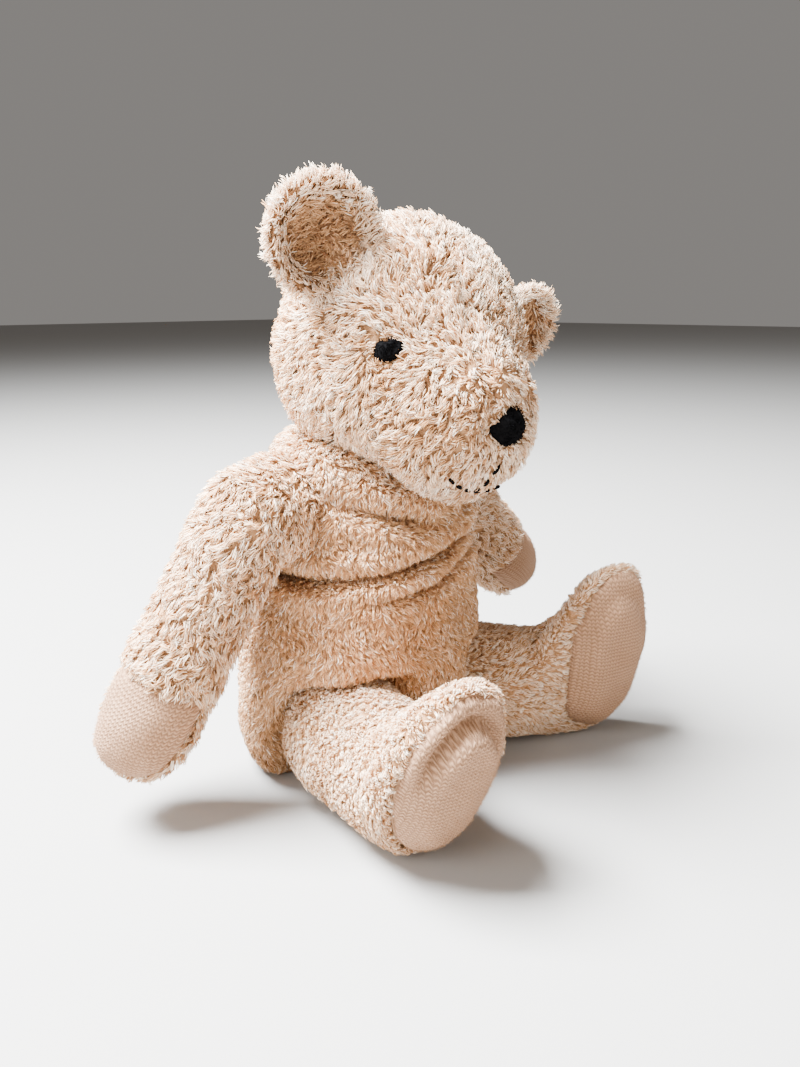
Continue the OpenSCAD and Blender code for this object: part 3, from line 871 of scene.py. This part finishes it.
def leg_pile(side, mesh, way):
    co = points_of(mesh)
    length = (3.0 + 0.4 * waves(co, 18 * MM, 41)) * MM
    comb = np.tile(way, (len(co), 1))
    density = np.full(len(co), 3.5)
    tan_and_shade = np.full(len(co), 0.3)
    seed = 54 + 7 * len(side)
    pile(f"{side}_leg", f"{side}_leg", mesh, length, comb, density, seed, tan_and_shade=tan_and_shade, points=3, lift=50)


def basis_across(way):
    """Two directions across a limb, as columns."""
    first = unit(np.cross(way, [0.0, 0.0, 1.0]))
    return np.stack([first, np.cross(first, way)], 1)


def part_of(mesh, keep, name):
    """A mesh of the faces whose corners are mostly kept."""
    bm = bmesh.new()
    bm.from_mesh(mesh)
    bm.verts.ensure_lookup_table()
    drop = [f for f in bm.faces if sum(keep[v.index] for v in f.verts) * 2 <= len(f.verts)]
    bmesh.ops.delete(bm, geom=drop, context="FACES")
    made = bpy.data.meshes.new(name)
    bm.to_mesh(made)
    bm.free()
    return made


def knit_places(mesh, way, kind):
    """A map of the pad in stitches: columns run along an arm, and up a sole."""
    co = points_of(mesh)
    middle_point = co.mean(0)
    normal = unit(normals_of(mesh).mean(0))
    up = way if kind == "arm" else np.array([0.0, 0.0, 1.0])
    up = unit(up - normal * (up @ normal))
    right = np.cross(up, normal)
    flat = np.stack([(co - middle_point) @ right, (co - middle_point) @ up], 1) / KNIT_PITCH
    layer = mesh.uv_layers.new(name="knit")
    corners = np.empty(len(mesh.loops), np.int32)
    mesh.loops.foreach_get("vertex_index", corners)
    layer.data.foreach_set("uv", flat[corners].astype(np.float32).ravel())


def rims(mesh):
    """The mesh's open edges as closed loops of vertex numbers, the longest first."""
    bm = bmesh.new()
    bm.from_mesh(mesh)
    ahead = {}
    for edge in bm.edges:
        if edge.is_boundary:
            a, b = (v.index for v in edge.verts)
            ahead.setdefault(a, []).append(b)
            ahead.setdefault(b, []).append(a)
    bm.free()
    found = []
    while ahead:
        start = next(iter(ahead))
        loop, at = [start], start
        while ahead.get(at):
            step = ahead[at].pop()
            ahead[step].remove(at)
            at = step
            loop.append(at)
        for v in set(loop):
            if not ahead.get(v):
                ahead.pop(v, None)
        found.append(loop)
    return sorted(found, key=len, reverse=True)


TUBE_SIDES = 6
ENDS_NARROWED = 0.45


def tube(name, body, path, radius, material, closed=False):
    """A round thread along a path of points."""
    path = np.asarray(path, float)
    if closed:
        along = unit(np.roll(path, -1, 0) - np.roll(path, 1, 0))
    else:
        along = unit(np.gradient(path, axis=0))
    side = unit(np.cross(along, [0.3, 0.2, 0.9]))
    other = np.cross(along, side)
    radii = np.full(len(path), radius)
    if not closed:
        radii[[0, -1]] *= ENDS_NARROWED
    angles = 2 * math.pi * np.arange(TUBE_SIDES) / TUBE_SIDES
    ring = np.cos(angles)[None, :, None] * side[:, None] + np.sin(angles)[None, :, None] * other[:, None]
    verts = (path[:, None] + ring * radii[:, None, None]).reshape(-1, 3)
    faces = ring_faces(len(path), TUBE_SIDES, closed)
    if not closed:
        faces += end_caps(len(path), TUBE_SIDES)
    mesh = bpy.data.meshes.new(name)
    mesh.from_pydata(verts.tolist(), [], faces)
    all_smooth(mesh)
    mesh.materials.append(material)
    made = new_object(name, mesh)
    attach(made, body)
    return made


SEAM_RADIUS = 0.55 * MM
SEAM_SMOOTHING = 14


def seam(name, body, pad_mesh):
    """The rolled seam round a pad."""
    loop = rims(pad_mesh)[0]
    path = points_of(pad_mesh)[loop[:-1]]
    for _ in range(SEAM_SMOOTHING):
        path = (np.roll(path, 1, 0) + 2 * path + np.roll(path, -1, 0)) / 4
    tube(name, body, path, SEAM_RADIUS, SEAM_THREAD, closed=True)


# ---------- Ears ----------

EAR_RINGS = 16
EAR_SPOKES = 48
EAR_SIZES = {"right": (18.5 * MM, 1.0), "left": (17.2 * MM, 0.8)}    # radius, and how far it is narrowed
EAR_MIDDLE = 0.82   # how far the ear's middle is from where it is sewn on, in radii


def ear_ring(ring, sense, radius, narrowed):
    """Places across, out and towards the facing side, on a ring from 0 at the middle to 1 at the rim.

    sense is 1 on the front layer and -1 on the back one.
    """
    spokes = np.arange(EAR_SPOKES) * 2 * math.pi / EAR_SPOKES
    rim = math.sqrt(max(0.0, 1 - ring**4))
    low = (1 - np.sin(spokes)) / 2
    wide = radius * ring * (1.02 - 0.24 * low**2)
    bowl = 16 * MM * ring**2.2 * (0.55 + 0.75 * low) - 12 * MM
    # The inner fold runs up from the base, a little towards the face.
    crest = wide * (np.cos(spokes) - 0.30 * np.sin(spokes)) / radius
    bowl += 9 * MM * bump(crest - 0.24, 0.19) * ramp(-wide * np.sin(spokes), -0.25 * radius, 0.3 * radius)
    thick = 3.0 * MM * rim * sense
    aside = narrowed * wide * np.cos(spokes)
    outwards = radius * EAR_MIDDLE + wide * np.sin(spokes)
    return aside, outwards, bowl + thick + 4 * MM


def ear(side):
    """A cupped ear of two furry layers: a deep bowl with a thick rolled rim, pinched where it is sewn on."""
    axis, origin, _ = head_axes()
    front, back = f"{side}_ear_front", f"{side}_ear_back"
    centre = middle(front, back)
    head_middle = origin + axis * 36 * MM
    out = unit(centre - head_middle)
    facing = middle(front) - middle(back)
    facing = unit(facing - out * (facing @ out))
    across = np.cross(out, facing)
    radius, narrowed = EAR_SIZES[side]
    base = centre - out * radius * 0.8
    rows = [((r + 0.5) / EAR_RINGS, 1) for r in range(EAR_RINGS)]
    rows += [(1 - (r + 1) / EAR_RINGS, -1) for r in range(EAR_RINGS - 1)]
    verts = []
    for ring, sense in rows:
        aside, outwards, ahead = ear_ring(ring, sense, radius, narrowed)
        verts.append(base + across * aside[:, None] + out * outwards[:, None] + facing * ahead[:, None])
    faces = ring_faces(len(rows), EAR_SPOKES) + end_caps(len(rows), EAR_SPOKES)
    mesh = bpy.data.meshes.new(f"{side}_ear_skin")
    mesh.from_pydata(np.concatenate(verts).tolist(), [], faces)
    outward_faces(mesh)
    made = new_object(f"{side}_ear_skin", mesh)
    set_points(mesh, relaxed(mesh, points_of(mesh), 2))
    skin(made, "head", SHADED_BACKING, [front, back])
    co = points_of(mesh)
    outward = unit(co - (base + out * radius * 0.8))
    from_middle = np.linalg.norm(co - base - out * radius * EAR_MIDDLE, axis=1)
    inside = (from_middle < radius * 0.62) & (dot(normals_of(mesh), facing)[:, 0] > 0)
    comb = np.where(inside[:, None], across * 0.8 - out * 0.5, outward)
    length = np.where(inside, 4.0, 4.9) * MM
    density = np.full(len(co), 2.9)
    # Inside the bowl every strand is of the tan shades: painted shade in the hollow.
    tan_and_shade = np.where(inside, 1.0, 0.05)
    pile(f"{side}_ear", "head", mesh, length, comb, density, 71 + len(side), tan_and_shade=tan_and_shade, lift=42)


# ---------- Face ----------

SPOT_RINGS = 14
SPOT_SPOKES = 40


def spot_point(r, k, lobes):
    """Shares across, up and out of a dome's size, on spoke k of ring r. Its outline has lobes and a notch."""
    share = r / SPOT_RINGS
    a = 2 * math.pi * k / SPOT_SPOKES
    notch = math.exp(-(((a - 1.95) / 0.38) ** 2))
    wide = share * (1 + lobes * math.cos(2 * (a - 0.7)) - 1.9 * lobes * notch)
    tall = math.sqrt(max(0.0, 1 - share**2.6))
    return wide * math.cos(a), wide * math.sin(a), tall * 1.5 - 0.9


def sewn_spot(name, node_name, size, seed, lobes):
    """A raised patch of black wool where a CAD spot lies: its own lumpy dome, with stray fibres.

    size is half the width, half the height and the rise, in mm.
    """
    axis, origin, forward = head_axes()
    centre = middle(node_name)
    out = unit(centre - (origin + axis * 26 * MM))
    if node_name == "nose":
        out = unit(forward + 0.25 * axis)
    side = unit(np.cross(axis, out))
    up = np.cross(out, side)
    half_width, half_height, rise = (measure * MM for measure in size)
    verts = []
    for r in range(SPOT_RINGS + 1):
        for k in range(SPOT_SPOKES):
            across, upwards, outwards = spot_point(r, k, lobes)
            flat = side * half_width * across + up * half_height * upwards
            verts.append(centre + flat + out * rise * outwards)
    mesh = bpy.data.meshes.new(name)
    mesh.from_pydata([tuple(v) for v in verts], [], ring_faces(SPOT_RINGS + 1, SPOT_SPOKES))
    outward_faces(mesh, merge=1e-6)
    co = points_of(mesh)
    lumps = waves(co, 2.6 * MM, seed) * 0.4 * MM + waves(co, 1.0 * MM, seed + 1) * 0.18 * MM
    set_points(mesh, co + out * lumps[:, None])
    all_smooth(mesh)
    mesh.materials.append(BLACK_WOOL)
    made = new_object(name, mesh)
    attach(made, "head")
    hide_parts(node_name)
    fuzz(f"{name}_fuzz", "head", mesh, 1.3 * MM, 1.6, seed + 90, "yarn", BLACK_FUZZ)


def face(skin_object):
    sewn_spot("right_eye_wool", "right_eye", (4.6, 4.4, 2.4), 3, 0.14)
    sewn_spot("left_eye_wool", "left_eye", (4.6, 4.4, 2.4), 4, 0.14)
    sewn_spot("nose_wool", "nose", (7.5, 7.3, 5.8), 8, 0.025)
    mouth(skin_object)


STITCH_RADIUS = 0.6 * MM
STITCH_STANDS_OFF = 1.8 * MM
STITCHES_DOWN = [((0, (10.5 + 6.5 * k) * MM), (0, (14.5 + 6.5 * k) * MM)) for k in range(3)]


def smile_point(sense, a):
    """A point of the smile, a mm from its middle, which lies 1 mm to the right of the nose."""
    return sense * a * MM - MM, (29 - 0.02 * a * a) * MM


def mouth(skin_object):
    """Running stitches: down from the nose, then a smile to each side."""
    axis, origin, forward = head_axes()
    side = np.cross(axis, forward)
    tree = BVHTree.FromObject(skin_object, bpy.context.evaluated_depsgraph_get())
    centre = origin + forward * 38 * MM + axis * 19 * MM
    nose = middle("nose")

    def on_muzzle(across, down):
        """A point just above the pile's roots, down from the nose and across, in metres."""
        target = nose - axis * down + side * across - forward * 4 * MM
        way = Vector(unit(target - centre))
        hit = tree.ray_cast(Vector(centre), way)[0]
        return np.array(hit) + np.array(way) * STITCH_STANDS_OFF

    stitches = list(STITCHES_DOWN)
    for sense in (-1, 1):
        for k in range(3):
            stitches.append((smile_point(sense, 1.2 + 5.2 * k), smile_point(sense, 4.4 + 5.2 * k)))
    for k, (start, end) in enumerate(stitches):
        path = []
        for t in np.linspace(0, 1, 7):
            across = start[0] + (end[0] - start[0]) * t
            down = start[1] + (end[1] - start[1]) * t
            path.append(on_muzzle(across, down) + forward * 0.5 * MM * math.sin(math.pi * t))
        tube(f"mouth_stitch_{k + 1}", "head", path, STITCH_RADIUS, BLACK_WOOL)
    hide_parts("mouth_stitches")


# ---------- Hidden joint hardware ----------

def hardware():
    for name, piece in frame["nodes"].items():
        if "cotter_pin" in name or "washer" in name:
            material = STEEL
        elif "disc" in name:
            material = FIBREBOARD
        else:
            continue
        piece.data.materials.clear()
        piece.data.materials.append(material)


# ---------- Stage ----------

FLOOR_REACH = 6.0
FLOOR_COLOUR = (0.33, 0.315, 0.30)
WORLD_COLOUR = (1.0, 0.95, 0.90, 1)
WORLD_STRENGTH = 0.24
LIGHTS = (      # name, place, size in metres, watts, colour
    ("window", (-0.30, 0.32, 0.95), 0.5, 225.0, (0.91, 0.96, 1.0)),
    ("side", (-0.78, 0.05, 0.5), 0.5, 10.0, (1.0, 0.965, 0.93)),
    ("front", (-0.1, -0.9, 0.45), 0.9, 5.0, (1.0, 0.90, 0.80)),
)
LIGHTS_AIM = Vector((0, 0, 0.09))
CAMERA_PLACE = (-0.225, -0.208, 0.172)
CAMERA_DOWN = math.radians(15.5)
CAMERA_LENS = 28.34
CAMERA_SENSOR = 36.0


def floor():
    corners = [(x * FLOOR_REACH, y * FLOOR_REACH, 0) for x, y in ((-1, -1), (1, -1), (1, 1), (-1, 1))]
    mesh = bpy.data.meshes.new("floor")
    mesh.from_pydata(corners, [], [(0, 1, 2, 3)])
    mesh.materials.append(shader("floor", FLOOR_COLOUR, 0.85)[0])
    new_object("floor", mesh)


def lights():
    for name, place, size, power, colour in LIGHTS:
        data = bpy.data.lights.new(name, "AREA")
        data.size = size
        data.energy = power
        data.color = colour
        lamp = bpy.data.objects.new(name, data)
        lamp.location = place
        lamp.rotation_euler = (LIGHTS_AIM - Vector(place)).to_track_quat("-Z", "Y").to_euler()
        bpy.context.scene.collection.objects.link(lamp)


def stage():
    floor()
    world = bpy.data.worlds.new("studio")
    world.use_nodes = True
    background = world.node_tree.nodes["Background"]
    background.inputs["Color"].default_value = WORLD_COLOUR
    background.inputs["Strength"].default_value = WORLD_STRENGTH
    bpy.context.scene.world = world
    lights()


def camera():
    data = bpy.data.cameras.new("camera")
    data.lens = CAMERA_LENS
    data.sensor_width = CAMERA_SENSOR
    data.clip_start = 0.01
    made = bpy.data.objects.new("camera", data)
    made.location = CAMERA_PLACE
    level = math.cos(CAMERA_DOWN)
    look = Vector((0.766 * level, 0.643 * level, -math.sin(CAMERA_DOWN)))
    made.rotation_euler = look.to_track_quat("-Z", "Y").to_euler()
    bpy.context.scene.collection.objects.link(made)
    bpy.context.scene.camera = made


torso()
head_skin = head()
for side in SIDES:
    ear(side)
    arm(side)
    leg(side)
face(head_skin)
hardware()
stage()
camera()
